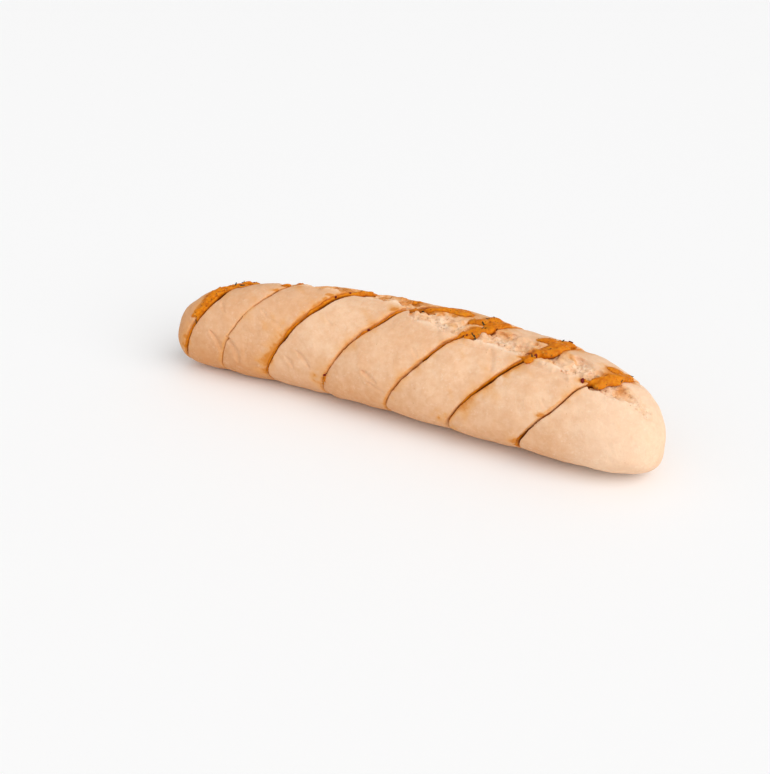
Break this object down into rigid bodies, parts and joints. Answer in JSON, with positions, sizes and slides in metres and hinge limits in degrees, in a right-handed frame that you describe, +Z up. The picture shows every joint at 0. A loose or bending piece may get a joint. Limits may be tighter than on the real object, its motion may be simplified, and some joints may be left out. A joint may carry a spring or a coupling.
{
  "type": "garlic baguette",
  "caption": "Garlic baguette: a slightly bent loaf, cut across on a slant almost to its base, with garlic butter in each cut and a torn strip along its top.",
  "frame": {"origin": "middle of the box round the loaf, on the surface it rests on", "axes": "+X along the loaf towards its broader end, +Y away from the side that its tips bend to, +Z up"},
  "size_m": [0.287, 0.0842, 0.0578],
  "materials": {
    "crust": "matte, floury, part-baked wheat crust with paler crumb where it is torn",
    "garlic_butter": "soft, slightly shiny orange garlic butter with dark green herbs and red chili flakes"
  },
  "bodies": {
    "root": {"loaf": "crust", "butter_1": "garlic_butter", "butter_2": "garlic_butter", "butter_3": "garlic_butter", "butter_4": "garlic_butter", "butter_5": "garlic_butter", "butter_6": "garlic_butter", "butter_7": "garlic_butter"}
  },
  "joints": []
}
